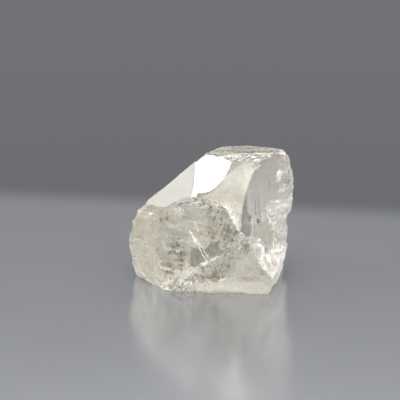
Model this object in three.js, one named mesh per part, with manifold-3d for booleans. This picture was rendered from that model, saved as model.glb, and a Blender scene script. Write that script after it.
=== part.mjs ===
// Topaz crystal: one gem-clear piece standing on its flat cleaved base.
//
// Millimetres, Z up. The origin is the middle of the base, on the resting plane. -Y is the front,
// where the two lengthwise faces meet; the steep sloping dome face looks to the left of the front.
//
// The crystal is grown in three steps. A rough lump is found by a radial search through a field that
// is the smooth union and intersection of its worn and broken sides. Then each true face is cut with a
// slab that lies on that face's plane, its inner side carrying the face's own relief. Last, the base
// is cut flat, so that the piece rests on it.

import * as THREE from 'three';
import { ImprovedNoise } from 'three/addons/math/ImprovedNoise.js';
import { mergeVertices } from 'three/addons/utils/BufferGeometryUtils.js';
import Module from 'manifold-3d';

// ---------------------------------------------------------------- driving dimensions

// Each side of the crystal is a plane: turn is degrees round Z from the front towards the right, lean
// is degrees above the horizontal, reach is the distance from the origin along the outward normal.
const SIDES = {
  // true faces, cut crisp
  cap: { turn: 180, lean: 90, reach: 20.1 },
  domeFront: { turn: -35.9, lean: 25.9, reach: 9.99 },
  domeBack: { turn: -115.9, lean: 48.7, reach: 15.51 },
  capBevel: { turn: 12.3, lean: 77.6, reach: 20.18 },
  capCorner: { turn: 60.6, lean: 45.7, reach: 20.31 },
  prismFront: { turn: -8.0, lean: 19.8, reach: 9.88 },
  cheek: { turn: 37.0, lean: 2.5, reach: 7.9 },
  prismRight: { turn: 52.5, lean: -2.3, reach: 7.28 },
  etchedLeft: { turn: -29.2, lean: 8.9, reach: 6.37 },
  frontLedge: { turn: -57.0, lean: 43.8, reach: 6.28 },
  footFront: { turn: -3.0, lean: -9.0, reach: 6.06 },
  rightShelf: { turn: 86.7, lean: 54.7, reach: 9.87 },
  shellBreak: { turn: 62.0, lean: 14.0, reach: 10.65 },
  // worn and broken sides, left rounded
  left: { turn: -86, lean: 3, reach: 12.89 },
  leftFlank: { turn: -60, lean: 1, reach: 12.17 },
  leftShoulder: { turn: -72, lean: 42, reach: 15.03 },
  leftBrow: { turn: -84, lean: 22, reach: 14.65 },
  leftHeel: { turn: -66, lean: -25, reach: 9.31 },
  leftToe: { turn: -50, lean: -35, reach: 6.9 },
  leftHem: { turn: -85, lean: -25, reach: 10.4 },
  right: { turn: 88, lean: -5, reach: 11.28 },
  rightBrow: { turn: 86, lean: 17, reach: 16.37 },
  rightCrown: { turn: 80, lean: 50, reach: 22.5 },
  rightWaist: { turn: 84, lean: -3, reach: 10.98 },
  rightNotch: { turn: 90, lean: -40, reach: 2.88 },
  rightHeel: { turn: 72.8, lean: -10.6, reach: 9.75 },
  backTop: { turn: -176, lean: 14, reach: 9.23 },
  backRight: { turn: 150, lean: 38, reach: 18.15 },
  backLeft: { turn: -142, lean: 2, reach: 9.93 },
  back: { turn: 178, lean: 0, reach: 7.58 },
};

const HEART = new THREE.Vector3(1.44, -0.69, 3.0); // every side can be seen from here
const LUMP_DETAIL = 17; // facets along each edge of the icosahedron
const LUMP_REACH = 26; // longest radius searched
const TRIM = 0.45; // stock left outside each true face for its slab to remove

const ROUND_LEFT = 1.4; // blend radii of the worn edges
const ROUND_RIGHT = 0.9;
const ROUND_NOTCH = 0.5;

const SLAB_SPAN = 36;
const SLAB_DEPTH = 30;

// The front prism face bows inward towards its left end, under the dome, and swells near its top.
const BOW_START = 2.6;
const BOW_SPAN = 4.3;
const BOW_RATE = 0.165;
const BOW_POWER = 1.5;
const SWELL = 0.18;
const SWELL_HEIGHT = 6.5;
const SWELL_HALF_HEIGHT = 1.8;

// The bevel between the two prism faces is there only near the top.
const CHEEK_FADE = [8, 16];
const CHEEK_FADE_RISE = 8;

// The right prism face is a shallow bowl, with a broken rim standing proud along its outer side.
const BOWL_DEPTH = 0.62;
const BOWL_HEIGHT = 15.3;
const BOWL_HALF_HEIGHT = 5.2;
const BOWL_MIDDLE = -3;
const BOWL_HALF_WIDTH = 12;
const RIM_RISE = 0.3;
const RIM_TOP = 13.2;
const RIM_FADE = 2.4;
const RIM_START = 2.75;
const RIM_SLANT = 0.53;

// The upper edge of the etched face is drawn up under the corner of the dome.
const APEX_RISE = 0.14;

// The shelf over the broken shell sags in its middle, and the shell swells out towards its foot.
const SHELF_RISE = 0.5;
const SAG_DEPTH = 1.5;
const SAG_MIDDLE = -0.75;
const SAG_HALF_WIDTH = 1.15;
const SHELL_SUNK = 0.4;
const SHELL_SWELL = 1.6;

// ---------------------------------------------------------------- planes and blends

const noise = new ImprovedNoise();

function normalOf(side) {
  const turn = THREE.MathUtils.degToRad(side.turn);
  const lean = THREE.MathUtils.degToRad(side.lean);
  const flat = Math.cos(lean);
  return new THREE.Vector3(Math.sin(turn) * flat, -Math.cos(turn) * flat, Math.sin(lean));
}

for (const side of Object.values(SIDES)) {
  side.normal = normalOf(side);
}

const smooth = THREE.MathUtils.smoothstep;
const over = (side, point) => side.normal.dot(point) - side.reach;
const trimmed = (side, point) => over(side, point) - TRIM;
const loose = (side, point) => over(side, point) - SHELL_SWELL;

function softMax(a, b, radius) {
  const near = Math.max(radius - Math.abs(a - b), 0) / radius;
  return Math.max(a, b) + (near * near * radius) / 4;
}

const softMin = (a, b, radius) => -softMax(-a, -b, radius);

// ---------------------------------------------------------------- the rough lump

// Below zero inside the crystal, above zero outside it.
function lumpField(point) {
  const s = SIDES;
  let field = softMin(trimmed(s.etchedLeft, point), trimmed(s.frontLedge, point), ROUND_NOTCH);
  field = softMax(field, trimmed(s.footFront, point), ROUND_NOTCH);
  const wornLeft = [s.leftFlank, s.left, s.leftShoulder, s.leftBrow, s.leftHeel, s.leftToe, s.leftHem];
  for (const side of wornLeft) {
    field = softMax(field, over(side, point), ROUND_LEFT);
  }
  const lowRight = Math.max(loose(s.rightShelf, point), loose(s.shellBreak, point));
  field = Math.max(field, Math.min(trimmed(s.prismRight, point), lowRight));
  const waist = softMin(over(s.rightWaist, point), over(s.rightNotch, point), ROUND_NOTCH);
  field = softMax(field, waist, ROUND_NOTCH);
  for (const side of [s.right, s.rightBrow, s.rightCrown, s.rightHeel]) {
    field = softMax(field, over(side, point), ROUND_RIGHT);
  }
  for (const side of [s.backTop, s.backRight, s.backLeft, s.back]) {
    field = softMax(field, over(side, point), ROUND_RIGHT);
  }
  for (const side of [s.cap, s.domeFront, s.domeBack, s.prismFront]) {
    field = Math.max(field, trimmed(side, point));
  }
  return Math.max(field, -point.z - TRIM);
}

// Broken and worn surfaces: broad waves, hackly steps, and a finer crumb.
function breakRelief(point) {
  const broad = noise.noise(point.x / 4.1, point.y / 4.1, point.z / 4.1 + 7.3);
  const steps = Math.abs(noise.noise(point.x / 2.2 + 3.1, point.y / 2.2, point.z / 1.7));
  const crumb = noise.noise(point.x / 0.95, point.y / 0.95 + 5.7, point.z / 0.95);
  return 0.3 * broad - 0.3 * steps + 0.09 * crumb;
}

function surfaceRadius(direction) {
  const point = new THREE.Vector3();
  let inside = 0;
  let outside = LUMP_REACH;
  for (let step = 0; step < 40; step++) {
    const radius = (inside + outside) / 2;
    point.copy(direction).multiplyScalar(radius).add(HEART);
    if (lumpField(point) < 0) {
      inside = radius;
    } else {
      outside = radius;
    }
  }
  return inside;
}

function roughLump() {
  const geometry = closed(new THREE.IcosahedronGeometry(1, LUMP_DETAIL));
  const positions = geometry.attributes.position;
  const direction = new THREE.Vector3();
  const point = new THREE.Vector3();
  for (let i = 0; i < positions.count; i++) {
    direction.fromBufferAttribute(positions, i).normalize();
    const radius = surfaceRadius(direction);
    point.copy(direction).multiplyScalar(radius).add(HEART);
    point.addScaledVector(direction, breakRelief(point));
    positions.setXYZ(i, point.x, point.y, point.z);
  }
  return geometry;
}

// ---------------------------------------------------------------- relief of the true faces

// u runs level across a face and v runs up it; each relief is the height out of the plane.
const flat = () => 0;

function capRelief(u, v) {
  const band = noise.noise(u / 9, v / 1.3, 4.4);
  return -0.05 * Math.abs(band) - 0.03;
}

function frontRelief(u, v) {
  const ridges = noise.noise(u / 0.85, v / 9, 1.7);
  const inward = THREE.MathUtils.clamp(BOW_START - u, 0, BOW_SPAN) ** BOW_POWER;
  const bow = BOW_RATE * inward * (1 - smooth(-u, 1.9, 2.7));
  const height = (v - SWELL_HEIGHT) / SWELL_HALF_HEIGHT;
  const swell = SWELL * Math.exp(-height * height) * (1 - smooth(u, 3.5, 6));
  return 0.06 * ridges + swell - bow;
}

function cheekRelief(u, v, point) {
  const gone = 1 - smooth(point.z, ...CHEEK_FADE);
  return CHEEK_FADE_RISE * gone;
}

function rightRelief(u, v, point) {
  const rise = (point.z - BOWL_HEIGHT) / BOWL_HALF_HEIGHT;
  const along = (u - BOWL_MIDDLE) / BOWL_HALF_WIDTH;
  const bowl = Math.max(1 - rise * rise, 0) * Math.max(1 - along * along, 0);
  const below = RIM_TOP - point.z;
  const beyond = u - RIM_START - RIM_SLANT * below;
  const rim = smooth(beyond, 0, 0.9) * smooth(below, 0, RIM_FADE);
  const worn = smooth(u, 4.5, 7);
  const ridges = noise.noise(u / 0.8, v / 7, 9.1);
  const lumps = noise.noise(u / 2.1, v / 3.4, 2.3);
  return RIM_RISE * rim - BOWL_DEPTH * bowl + 0.14 * ridges * (1 - worn) + 0.5 * lumps * worn;
}

function etchedRelief(u, v) {
  const waves = noise.noise(u / 3.1, v / 1.6, 0.6);
  const ripple = noise.noise(u / 1.3, v / 0.9, 6.2);
  const pits = Math.max(noise.noise(u / 1.5 + 8.2, v / 1.5, 3.9) - 0.2, 0);
  const apex = APEX_RISE * smooth(u, 0.2, 1.2) * (1 - smooth(u, 4.5, 5.5)) * smooth(v, 0.7, 2.8);
  return 0.2 * waves + 0.1 * ripple - 0.6 * pits + apex;
}

function ledgeRelief(u, v) {
  const steps = noise.noise(u / 2.6, v / 1.8, 5.5);
  return 0.16 * steps;
}

function shelfRelief(u, v) {
  const steps = noise.noise(u / 2.6, v / 1.8, 5.5);
  const across = (u - SAG_MIDDLE) / SAG_HALF_WIDTH;
  return SHELF_RISE - SAG_DEPTH * Math.exp(-across * across) + 0.16 * steps;
}

function footRelief(u, v, point) {
  const brink = 1.9 + 1.3 * noise.noise(u / 2.8, 0.4, 7.7);
  const rough = smooth(point.z, brink, brink + 0.5) * (1 - smooth(u, 3, 6));
  const lumps = noise.noise(u / 1.9, v / 1.5, 8.8);
  const waves = noise.noise(u / 4.5, v / 3.2, 1.1);
  return 0.25 * waves + rough * (0.4 * lumps - 0.22);
}

// Curved steps that spread from the point where the flake was struck off.
function shellRelief(u, v) {
  const spread = Math.hypot(u - 3.5, v + 9.5);
  const rings = Math.sin(spread * 2.4 + noise.noise(u / 2, v / 2, 2.2));
  const crumb = noise.noise(u / 1.1, v / 1.1, 4.9);
  const swell = SHELL_SWELL * smooth(-v, 6.3, 9) - SHELL_SUNK;
  return swell + 0.1 * rings + 0.2 * crumb;
}

// ---------------------------------------------------------------- slabs and solids

function closed(geometry) {
  geometry.deleteAttribute('normal');
  geometry.deleteAttribute('uv');
  return mergeVertices(geometry, 1e-5);
}

// A slab whose inner side lies on a side's plane, shaped by the relief.
function slab(side, relief, cells) {
  const geometry = closed(new THREE.BoxGeometry(SLAB_SPAN, SLAB_SPAN, SLAB_DEPTH, cells, cells, 1));
  const level = new THREE.Vector3(Math.cos(THREE.MathUtils.degToRad(side.turn)), 0, 0);
  level.y = Math.sin(THREE.MathUtils.degToRad(side.turn));
  const up = new THREE.Vector3().crossVectors(side.normal, level);
  const middle = new THREE.Vector3(0, 0, 10);
  middle.addScaledVector(side.normal, -over(side, middle));
  const positions = geometry.attributes.position;
  const point = new THREE.Vector3();
  for (let i = 0; i < positions.count; i++) {
    const u = positions.getX(i);
    const v = positions.getY(i);
    const outer = positions.getZ(i) > 0;
    point.copy(middle).addScaledVector(level, u).addScaledVector(up, v);
    point.addScaledVector(side.normal, outer ? SLAB_DEPTH : relief(u, v, point));
    positions.setXYZ(i, point.x, point.y, point.z);
  }
  return geometry;
}

const wasm = await Module();
wasm.setup();

function solid(geometry) {
  const vertProperties = new Float32Array(geometry.attributes.position.array);
  const triVerts = new Uint32Array(geometry.index.array);
  return new wasm.Manifold(new wasm.Mesh({ numProp: 3, vertProperties, triVerts }));
}

const cutter = (side, relief = flat, cells = 1) => solid(slab(side, relief, cells));

function growCrystal() {
  const s = SIDES;
  const aboveLedge = cutter(s.frontLedge, ledgeRelief, 40);
  const aboveShelf = cutter(s.rightShelf, shelfRelief, 44);
  const cuts = [
    cutter(s.etchedLeft, etchedRelief, 52).intersect(aboveLedge),
    cutter(s.prismRight, rightRelief, 48).intersect(aboveShelf),
    cutter(s.footFront, footRelief, 44),
    cutter(s.shellBreak, shellRelief, 44).intersect(cutter(s.prismRight)),
    cutter(s.prismFront, frontRelief, 44),
    cutter(s.cheek, cheekRelief, 24),
    cutter(s.domeFront),
    cutter(s.domeBack),
    cutter(s.capBevel),
    cutter(s.capCorner),
    cutter(s.cap, capRelief, 24),
    cutter({ turn: 0, lean: -90, reach: 0, normal: new THREE.Vector3(0, 0, -1) }),
  ];
  let crystal = solid(roughLump());
  for (const cut of cuts) {
    crystal = crystal.subtract(cut);
  }
  return crystal;
}

function meshGeometry(manifold) {
  const mesh = manifold.getMesh();
  const geometry = new THREE.BufferGeometry();
  geometry.setAttribute('position', new THREE.BufferAttribute(mesh.vertProperties, 3));
  geometry.setIndex(new THREE.BufferAttribute(mesh.triVerts, 1));
  geometry.computeVertexNormals();
  return geometry;
}

// ---------------------------------------------------------------- the part

const topaz = new THREE.MeshStandardMaterial({
  color: 0xd9d4c4,
  roughness: 0.08,
  metalness: 0,
  flatShading: true,
});

const crystal = new THREE.Mesh(meshGeometry(growCrystal()), topaz);
crystal.name = 'topaz_crystal';

const part = new THREE.Group();
part.add(crystal);

export default part;
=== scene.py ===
"""Topaz crystal on a pale floor: the look of the crystal, its stage, its lights and its camera."""

import math

import bpy
import numpy as np
from bpy.props import FloatProperty, FloatVectorProperty, PointerProperty
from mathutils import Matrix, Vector


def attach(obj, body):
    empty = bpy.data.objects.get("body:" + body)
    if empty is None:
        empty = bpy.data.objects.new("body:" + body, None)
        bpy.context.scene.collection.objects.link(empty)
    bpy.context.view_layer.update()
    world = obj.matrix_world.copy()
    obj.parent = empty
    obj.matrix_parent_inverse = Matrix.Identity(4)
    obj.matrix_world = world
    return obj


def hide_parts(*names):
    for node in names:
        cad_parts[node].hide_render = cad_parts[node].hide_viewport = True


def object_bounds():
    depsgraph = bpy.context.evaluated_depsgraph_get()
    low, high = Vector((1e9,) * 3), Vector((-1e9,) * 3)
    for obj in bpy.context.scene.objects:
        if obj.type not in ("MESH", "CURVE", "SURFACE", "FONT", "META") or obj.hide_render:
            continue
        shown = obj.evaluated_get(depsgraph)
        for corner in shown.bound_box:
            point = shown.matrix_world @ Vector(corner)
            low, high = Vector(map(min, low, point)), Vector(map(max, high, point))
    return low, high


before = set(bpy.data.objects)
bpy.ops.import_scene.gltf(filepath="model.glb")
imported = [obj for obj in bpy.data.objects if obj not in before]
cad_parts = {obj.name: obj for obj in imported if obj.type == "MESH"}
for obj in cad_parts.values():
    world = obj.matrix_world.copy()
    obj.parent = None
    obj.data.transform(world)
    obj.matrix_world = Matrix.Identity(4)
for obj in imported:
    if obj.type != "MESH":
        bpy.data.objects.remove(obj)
CAD_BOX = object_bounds()

bl_info = {
    "name": "Topaz Crystal",
    "version": (1, 0, 0),
    "blender": (4, 5, 0),
    "location": "3D View > Sidebar > Crystal",
    "description": "Grows a clear topaz crystal with its cracks and sets it on a studio floor",
    "category": "Add Mesh",
}

NODE = "topaz_crystal"
MM = 0.001

# Each side is a plane: degrees round Z from the front (-Y) towards the right (+X), degrees above the
# horizontal, and millimetres from the origin along the outward normal.
SIDES = {
    "cap": (180, 90, 20.1),
    "dome_front": (-35.9, 25.9, 9.99),
    "dome_back": (-115.9, 48.7, 15.51),
    "cap_bevel": (12.3, 77.6, 20.18),
    "cap_corner": (60.6, 45.7, 20.31),
    "prism_front": (-8.0, 19.8, 9.88),
    "cheek": (37.0, 2.5, 7.9),
    "prism_right": (52.5, -2.3, 7.28),
    "etched_left": (-29.2, 8.9, 6.37),
    "front_ledge": (-57.0, 43.8, 6.28),
    "foot_front": (-3.0, -9.0, 6.06),
    "right_shelf": (86.7, 54.7, 9.87),
    "shell_break": (62.0, 14.0, 10.65),
    "base": (180, -90, 0.0),
    "left": (-86, 3, 12.89),
    "left_flank": (-60, 1, 12.17),
    "left_shoulder": (-72, 42, 15.03),
    "left_brow": (-84, 22, 14.65),
    "left_heel": (-66, -25, 9.31),
    "left_toe": (-50, -35, 6.8),
    "left_hem": (-85, -25, 10.33),
    "right": (88, -5, 11.28),
    "right_brow": (86, 17, 16.37),
    "right_crown": (80, 50, 22.5),
    "right_waist": (84, -3, 10.98),
    "right_notch": (90, -52, -0.44),
    "right_heel": (72.8, -10.6, 9.75),
    "back_top": (-176, 14, 9.23),
    "back_right": (150, 38, 18.15),
    "back_left": (-142, 2, 9.93),
    "back": (178, 0, 7.58),
}

# The skin is traced by rays from the heart, spaced evenly over an ellipsoid as large as the crystal's
# bulk. A ray that runs along a side, or away from it, meets that side far off.
HEART = np.array([1.4, -0.7, 6.0])
BULK_MIDDLE = np.array([0.0, 0.0, 10.0])
BULK_RADII = np.array([12.5, 8.5, 10.5])
FAR = 200.0
GRAZING = 1e-4
HALVINGS = 12
SHARP_EDGE = math.radians(26)


def axes_of(turn, lean):
    """Outward normal, level direction and upward direction of a side."""
    t, e = math.radians(turn), math.radians(lean)
    normal = np.array([math.sin(t) * math.cos(e), -math.cos(t) * math.cos(e), math.sin(e)])
    level = np.array([math.cos(t), math.sin(t), 0.0])
    return normal, level, np.cross(normal, level)


AXES = {name: axes_of(turn, lean) for name, (turn, lean, _) in SIDES.items()}


# ------------------------------------------------------------------------- noise and blends
def lattice(i, j, k, seed):
    """Hashed value in -1..1 at whole-number points: coordinates times odd primes, bits folded."""
    h = i * 374761393 + j * 668265263 + k * 1274126177 + seed * 974634777
    h = (h & 0xFFFFFFFF).astype(np.uint64)
    h = ((h ^ (h >> np.uint64(13))) * np.uint64(1103515245)) & np.uint64(0xFFFFFFFF)
    h = ((h ^ (h >> np.uint64(15))) * np.uint64(2246822519)) & np.uint64(0xFFFFFFFF)
    h = h ^ (h >> np.uint64(16))
    return (h & np.uint64(0xFFFFFF)).astype(float) / 8388607.5 - 1.0


def noise(points, seed=0):
    """Value noise: the eight hashed corners round each point, blended by 6t^5 - 15t^4 + 10t^3."""
    cell = np.floor(points).astype(np.int64)
    t = points - cell
    t = t * t * t * (t * (t * 6 - 15) + 10)
    total = np.zeros(len(points))
    for a in (0, 1):
        for b in (0, 1):
            for c in (0, 1):
                weight = np.abs(1 - a - t[:, 0]) * np.abs(1 - b - t[:, 1]) * np.abs(1 - c - t[:, 2])
                total += weight * lattice(cell[:, 0] + a, cell[:, 1] + b, cell[:, 2] + c, seed)
    return total


def fractal(points, octaves, seed=0):
    """Sum of noise at doubling frequency and halving height."""
    return sum(noise(points * 2.03**o, seed + o) * 0.5**o for o in range(octaves))


def spread(u, v, w, u_size, v_size=None, w_size=None):
    """Stacks three coordinates, each divided by its own wavelength."""
    return np.stack([u / u_size, v / (v_size or u_size), w / (w_size or u_size)], -1)


def over_face(u, v, u_size, v_size=None):
    """Stacks the two coordinates of a side, each divided by its own wavelength."""
    return spread(u, v, flat(u), u_size, v_size)


def flat(u):
    """Zero at every point, where a pattern doesn't vary along one coordinate."""
    return np.zeros(len(u))


def smooth(x, low, high):
    """Smooth step from 0 at low to 1 at high: 3t^2 - 2t^3."""
    t = np.clip((x - low) / (high - low), 0, 1)
    return t * t * (3 - 2 * t)


def bell(x, width):
    """1 where x is 0, falling off as exp(-(x / width)^2)."""
    return np.exp(-((x / width) ** 2))


def soft_min(a, b, radius):
    """The smaller of two lengths, rounded where they differ by less than the radius."""
    near = np.clip(radius - np.abs(a - b), 0, None) / radius
    return np.minimum(a, b) - near * near * radius / 4


def soft_max(a, b, radius):
    """The larger of two lengths, rounded in the same way."""
    return -soft_min(-a, -b, radius)


# ------------------------------------------------------------------------- the skin of each side
# Each side's function takes its level and upward coordinates u and v in millimetres, v from the middle
# height, and the points p, and gives the seven values that layers() names. The places and sizes in it
# are millimetres on that side, and the last number of each noise is its seed.
FINISH = ("frost", "milk", "stain", "crumble", "veins", "pale")


def layers(rise, frost, milk, stain=0.0, crumble=0.0, veins=0.0, pale=0.0):
    """Values of a side's skin, each one number or one for each point.

    rise: how far the skin stands out of the side's plane, in millimetres.
    frost: 0 polished to 1 matt.
    milk: the share that is bruised white; in a band near the top of the front face it is a painted
    highlight instead, and on the lip of the step across the foot partly a bruise and partly a painted
    highlight.
    stain: the share of light that grime in the etch pits takes; in the clear windows, in the open slit
    and at the lower left of the hollowed face it is painted shade instead.
    crumble: how far the skin is crushed into sparkling and dark grains.
    veins: how dark the fine outlines of its growth terraces are.
    pale: how far its colour passes from champagne to a cooler grey.
    """
    return dict(zip(("rise", *FINISH), (rise, frost, milk, stain, crumble, veins, pale)))


def island(u, v, at, radii):
    """1 inside an ellipse, fading to 0 over its rim."""
    ragged = 0.3 * fractal(over_face(u, v, 1.1), 3, 63)
    return 1 - smooth(np.hypot((u - at[0]) / radii[0], (v - at[1]) / radii[1]) + ragged, 0.75, 1.1)


def near_path(u, v, path, width):
    """1 on a ragged line through a few points, falling off as a bell of the distance to its nearest
    stretch."""
    ragged = 2.2 * width * noise(over_face(u, v, 0.45), 61)
    ragged = ragged + 1.2 * width * noise(over_face(u, v, 0.2), 62)
    spot = np.stack([u + ragged, v], -1)
    nearest = np.full(len(u), FAR)
    for start, end in zip(np.array(path[:-1]), np.array(path[1:])):
        along = np.clip((spot - start) @ (end - start) / ((end - start) @ (end - start)), 0, 1)
        nearest = np.minimum(nearest, np.linalg.norm(spot - start - along[:, None] * (end - start), axis=1))
    return bell(nearest, width)


def cap_skin(u, v, p):
    """Flat growth face with low terraces in long bands."""
    bands = noise(over_face(u + 0.5 * v, v, 7.0, 2.2), 3)
    fine = noise(over_face(u + 0.3 * v, v, 5.0, 0.9), 4)
    rise = -0.03 - 0.05 * smooth(bands, -0.1, 0.15) + 0.015 * fine
    across = v + 0.12 * (u + 5) + 0.35 * bands
    inner = smooth(-u, 1.8, 3.0) * (1 - smooth(-u, 7.8, 9.0))
    dark = bell(across + 0.8, 0.4) * inner
    light = bell(across - 0.7, 0.55) + 0.8 * bell(across + 2.6, 0.5)
    milk = 0.1 + 0.16 * fine + 0.14 * light
    stain = 0.45 * smooth(fine, 0.05, 0.3) + 0.35 * dark
    return layers(rise, 0.25 + 0.15 * fine, milk, stain, crumble=0.35, veins=0.5)


def dome_front_skin(u, v, p):
    """Mirror-flat face, in two growth layers that meet at a fine curved seam."""
    beyond = u + 0.95 + 0.04 * (v - 2) ** 2
    left = 1 - smooth(beyond, -0.05, 0.05)
    seam = bell(beyond, 0.09)
    return layers(-0.02 * left, 0.65 * left + 0.3 * seam, 0.03 + 0.2 * left, 0.2 * seam, pale=1.0)


def dome_back_skin(u, v, p):
    """Etched slope of shallow wandering terraces."""
    steps = noise(over_face(u, v, 4.0, 1.2), 6)
    return layers(-0.08 * smooth(steps, 0.0, 0.25), 0.5, 0.3, crumble=0.2, veins=0.3)


def cap_bevel_skin(u, v, p):
    """Narrow bruised edge, chipped into small steps."""
    chips = fractal(spread(u, v, p[:, 2], 0.9, 0.5), 3, 9)
    stain = 0.15 + 0.3 * smooth(-chips, 0.0, 0.5)
    return layers(0.08 * chips, 0.4, 0.2 + 0.4 * chips, stain, crumble=1.0)


def prism_front_skin(u, v, p):
    """Faintly striated face that bows inward at its left, under the dome, and is bruised white along
    its lower left edge. A band near its top is whitened as a painted highlight."""
    fine = noise(over_face(u, v, 0.5, 8.0), 7)
    broad = noise(over_face(u, v, 2.1, 3.5), 8)
    torn = 0.3 * fractal(over_face(u, v, 0.9), 3, 10)
    band = (1 - smooth(u + 0.44 * v + torn, 3.6, 4.2)) * (1 - smooth(v, -0.6, 2.4))
    bow = 0.165 * np.clip(2.6 - u, 0, 4.3) ** 1.5 * (1 - smooth(-u, 1.9, 2.7))
    swell = 0.18 * bell(v - 6.5, 1.8) * (1 - smooth(u, 3.5, 6))
    light = bell(v - 5.2, 1.9)
    corner = smooth(v - 0.81 * u - 3.5, -0.05, 0.15) * (1 - smooth(u, 4.4, 5.2))
    rise = swell - bow + 0.01 * fine + 0.02 * broad + 0.05 * band * (1 + torn)
    # Painted highlight: the band near the top of the face is whitened through the milk.
    milk = 0.24 + 0.24 * light + 0.05 * broad + 0.26 * band * (1 + 2 * torn) - 0.15 * corner
    stain = 0.1 * smooth(-broad, 0, 0.5) + 0.12 * corner
    return layers(rise, 0.14 + 0.35 * band, milk, stain, crumble=0.9 * band)


def cheek_skin(u, v, p):
    """Frosted bevel at the top of the edge between the front and the right face, gone lower down."""
    chips = fractal(spread(u, v, p[:, 2], 0.7, 1.3), 3, 5)
    gone = 8.0 * (1 - smooth(p[:, 2], 8.0, 16.0)) + 0.3 * (1 - smooth(p[:, 2], 17.6, 19.0))
    return layers(0.04 * chips + gone, 0.4, 0.3 + 0.2 * chips, crumble=0.8)


def prism_right_skin(u, v, p):
    """Hollowed face with painted shade at its lower left, upright ridges and streaks, and a darker
    blotch in upright strands; worn at its right, above and below a step, where a ragged bright crease
    parts a sunken facet."""
    z = p[:, 2]
    bowl = np.clip(1 - ((z - 15.3) / 5.2) ** 2, 0, None) * np.clip(1 - ((u + 3) / 12) ** 2, 0, None)
    wander = 0.35 * noise(over_face(flat(u), v, 1.0, 1.2), 11)
    below_step = 1 - smooth(v, 0.8, 3.2)
    past_crease = smooth(u - 4.45 + 0.53 * v + wander, 0, 0.3) * below_step
    facet = smooth(u - 3.0 - 0.35 * (v - 1.2), 0, 0.5) * below_step * (1 - past_crease)
    worn = np.maximum(smooth(u + wander, 5.4, 6.8), past_crease)
    worn_milk = 0.07 + 0.12 * (1 - smooth(v, 2.2, 3.6))
    ridges = 0.05 * noise(over_face(u, v, 0.8, 7.0), 12)
    ridges = ridges + 0.03 * noise(over_face(u, v, 0.4, 3.0), 13)
    lumps = 0.2 * fractal(spread(u, v, z, 1.5, 2.2), 3, 14)
    gash = island(u, v, (9.08, 5.9), (0.3, 1.2))
    knob = island(u, v, (6.3, 6.7), (0.6, 0.8))
    crease = near_path(u, v, [(3.6, 1.6), (4.75, -0.5), (6.05, -3.2), (5.9, -4.4)], 0.24)
    step = near_path(u, v, [(4.0, 3.15), (6.9, 2.65)], 0.09)
    bright = near_path(u, v, [(-0.45, 0.3), (-0.35, -1.2)], 0.08)
    bright = bright + near_path(u, v, [(2.25, 1.5), (2.3, 0.5)], 0.1)
    dark = near_path(u, v, [(0.7, 4.1), (0.8, 1.9)], 0.14)
    dark = dark + 0.8 * near_path(u, v, [(3.9, 6.6), (3.95, 5.0)], 0.12)
    spots = island(u, v, (-0.75, 1.6), (0.4, 0.6)) + island(u, v, (1.15, 0.7), (0.3, 0.4))
    strands = smooth(noise(over_face(u, v, 0.4, 2.4), 19), -0.2, 0.4)
    # A darker blotch in upright strands.
    dark_blotch = island(u, v, (1.5, 2.6), (1.1, 2.2)) * strands
    # Painted shade: the lower left of the face is darkened through the stain, and whitened a little less.
    shade = (1 - smooth(u + 0.75 + 0.1 * v + 0.5 * wander, -0.35, 0.35)) * (1 - smooth(v, 4.0, 6.5))
    streak = smooth(noise(over_face(u, v, 0.45, 2.8), 15), 0.1, 0.6)
    streak = streak * (1 - worn) * (1 - smooth(v, 4.5, 7.0))
    bands = smooth(noise(over_face(u, v, 0.8, 6.0), 17), -0.3, 0.6) * (1 - worn)
    rise = 0.3 * past_crease - 0.62 * bowl + ridges * (1 - worn) + lumps * worn + 0.2 * knob
    rise = rise - 0.3 * gash - 0.1 * spots + 0.06 * crease
    frost = 0.1 + 0.35 * worn + 0.5 * crease
    milk = 0.315 + worn_milk * worn + 0.9 * crease
    milk = milk + 0.5 * knob + 0.4 * step + 0.4 * bright - 0.02 * shade
    stain = 0.7 * gash + 0.9 * spots + 0.5 * dark + 0.22 * streak * (1 - facet)
    stain = stain + 0.54 * shade + 0.12 * facet + 0.06 * worn + 0.3 * dark_blotch + 0.09 * bands
    pale = 1 - 0.9 * facet - 0.4 * worn
    return layers(rise, frost, milk, stain, crumble=0.45 * worn + 0.8 * crease, pale=pale)


# Grimy blots of the etched face: middle and radii of each.
BLOTS = [
    ((-3.1, -3.6), (1.0, 0.7)),
    ((-3.0, -4.6), (1.1, 0.7)),
    ((-3.0, -5.8), (1.6, 0.9)),
    ((-4.0, -7.6), (1.0, 1.0)),
    ((-1.9, -7.5), (0.8, 1.0)),
    ((-3.6, -8.6), (1.1, 0.4)),
    ((4.0, 1.3), (0.45, 0.35)),
    ((1.9, 1.7), (0.4, 0.6)),
    ((-5.0, 0.1), (0.45, 0.9)),
]

# Fine dark streaks between its etch pits: both ends of each.
STREAKS = [
    [(2.5, 2.2), (1.6, 1.0)],
    [(2.3, 0.8), (2.0, 0.0)],
    [(4.0, 0.2), (3.6, -1.2)],
    [(4.7, 0.1), (4.3, -1.4)],
    [(5.3, -0.2), (4.9, -2.3)],
    [(5.8, -0.9), (5.5, -2.4)],
    [(2.6, -0.6), (2.1, -2.0)],
    [(3.3, -1.2), (3.0, -2.4)],
    [(6.3, -1.2), (6.1, -2.2)],
    [(-6.2, 1.4), (-6.0, -1.5)],
]

# White cracks that run across it: path, width and strength of each.
CRACKS = [
    ([(-1.06, -1.64), (-0.2, -2.8), (0.9, -4.5), (2.19, -6.1)], 0.11, 1.0),
    ([(-0.1, -2.6), (1.2, -4.0), (2.3, -5.3)], 0.08, 0.7),
    ([(-0.49, -0.37), (0.35, -1.6)], 0.07, 0.7),
    ([(-1.67, -6.2), (-0.8, -7.2)], 0.06, 0.6),
    ([(-5.8, -3.7), (-5.1, -5.0)], 0.09, 0.35),
]


def over_plane(name, points):
    """Height of points over a side's plane, in millimetres."""
    return points @ AXES[name][0] - SIDES[name][2]


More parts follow.
